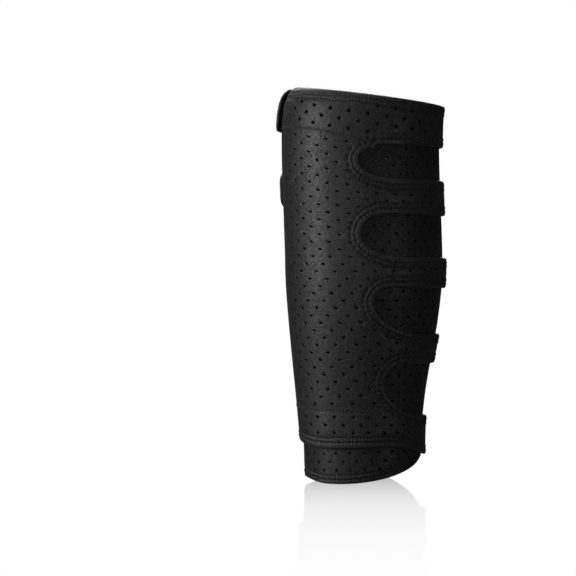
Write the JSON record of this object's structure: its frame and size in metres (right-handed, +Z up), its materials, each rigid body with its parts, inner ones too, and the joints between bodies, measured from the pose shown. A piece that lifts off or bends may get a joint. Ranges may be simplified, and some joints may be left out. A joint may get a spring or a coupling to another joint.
{
  "type": "adjustable calf and shin wrap",
  "caption": "Soft tapered calf and shin wrap: perforated neoprene layers with cut-outs, closed round the back of the leg by straps with hook patches.",
  "frame": {"origin": "on the leg's axis at the height of the bottom rim", "axes": "+Z up along the leg, -Y towards the side seen from the front, +X towards the side where the straps leave the front panel"},
  "size_m": [0.1374, 0.1378, 0.3223],
  "materials": {
    "neoprene_face": "brushed black knit face on perforated neoprene foam",
    "neoprene_underlap": "smooth black knit on perforated neoprene foam",
    "neoprene_strap": "brushed black knit on neoprene foam",
    "thread": "black nylon sewing thread",
    "hook_tape": "moulded black nylon hooks on woven tape"
  },
  "bodies": {
    "wrap": {"underlap_panel": "neoprene_underlap", "front_panel": "neoprene_face", "upper_band": "neoprene_face", "lower_band": "neoprene_face", "upper_band_seam": "thread", "lower_band_seam": "thread", "back_lap_seam": "thread"},
    "top_strap": {"top_strap": "neoprene_strap"},
    "top_strap_tab": {"top_strap_tab": "neoprene_strap", "top_strap_hook_patch": "hook_tape"},
    "upper_strap": {"upper_strap": "neoprene_strap"},
    "upper_strap_tab": {"upper_strap_tab": "neoprene_strap", "upper_strap_hook_patch": "hook_tape"},
    "middle_strap": {"middle_strap": "neoprene_strap"},
    "middle_strap_tab": {"middle_strap_tab": "neoprene_strap", "middle_strap_hook_patch": "hook_tape"},
    "lower_strap": {"lower_strap": "neoprene_strap"},
    "lower_strap_tab": {"lower_strap_tab": "neoprene_strap", "lower_strap_hook_patch": "hook_tape"},
    "bottom_strap": {"bottom_strap": "neoprene_strap"},
    "bottom_strap_tab": {"bottom_strap_tab": "neoprene_strap", "bottom_strap_hook_patch": "hook_tape"}
  },
  "joints": [
    {"name": "top_strap_swing", "type": "hinge", "parent": "wrap", "child": "top_strap", "pos_m": [0.06526, 0.01171, 0.2901], "axis": [0, 0, -1], "range_deg": [0, 120]},
    {"name": "top_strap_peel", "type": "hinge", "parent": "top_strap", "child": "top_strap_tab", "pos_m": [-0.01238, 0.07022, 0.2975], "axis": [0, 0, -1], "range_deg": [0, 100]},
    {"name": "upper_strap_swing", "type": "hinge", "parent": "wrap", "child": "upper_strap", "pos_m": [0.06526, 0.01171, 0.2316], "axis": [0, 0, -1], "range_deg": [0, 120]},
    {"name": "upper_strap_peel", "type": "hinge", "parent": "upper_strap", "child": "upper_strap_tab", "pos_m": [-0.01238, 0.07022, 0.2358], "axis": [0, 0, -1], "range_deg": [0, 100]},
    {"name": "middle_strap_swing", "type": "hinge", "parent": "wrap", "child": "middle_strap", "pos_m": [0.06526, 0.01171, 0.1707], "axis": [0, 0, -1], "range_deg": [0, 120]},
    {"name": "middle_strap_peel", "type": "hinge", "parent": "middle_strap", "child": "middle_strap_tab", "pos_m": [-0.01238, 0.07022, 0.1725], "axis": [0, 0, -1], "range_deg": [0, 100]},
    {"name": "lower_strap_swing", "type": "hinge", "parent": "wrap", "child": "lower_strap", "pos_m": [0.06056, 0.01087, 0.109], "axis": [0, 0, -1], "range_deg": [0, 120]},
    {"name": "lower_strap_peel", "type": "hinge", "parent": "lower_strap", "child": "lower_strap_tab", "pos_m": [-0.01155, 0.06551, 0.109], "axis": [0, 0, -1], "range_deg": [0, 100]},
    {"name": "bottom_strap_swing", "type": "hinge", "parent": "wrap", "child": "bottom_strap", "pos_m": [0.0522, 0.00937, 0.0379], "axis": [0, 0, -1], "range_deg": [0, 120]},
    {"name": "bottom_strap_peel", "type": "hinge", "parent": "bottom_strap", "child": "bottom_strap_tab", "pos_m": [-0.01012, 0.05737, 0.0404], "axis": [0, 0, -1], "range_deg": [0, 100]}
  ]
}
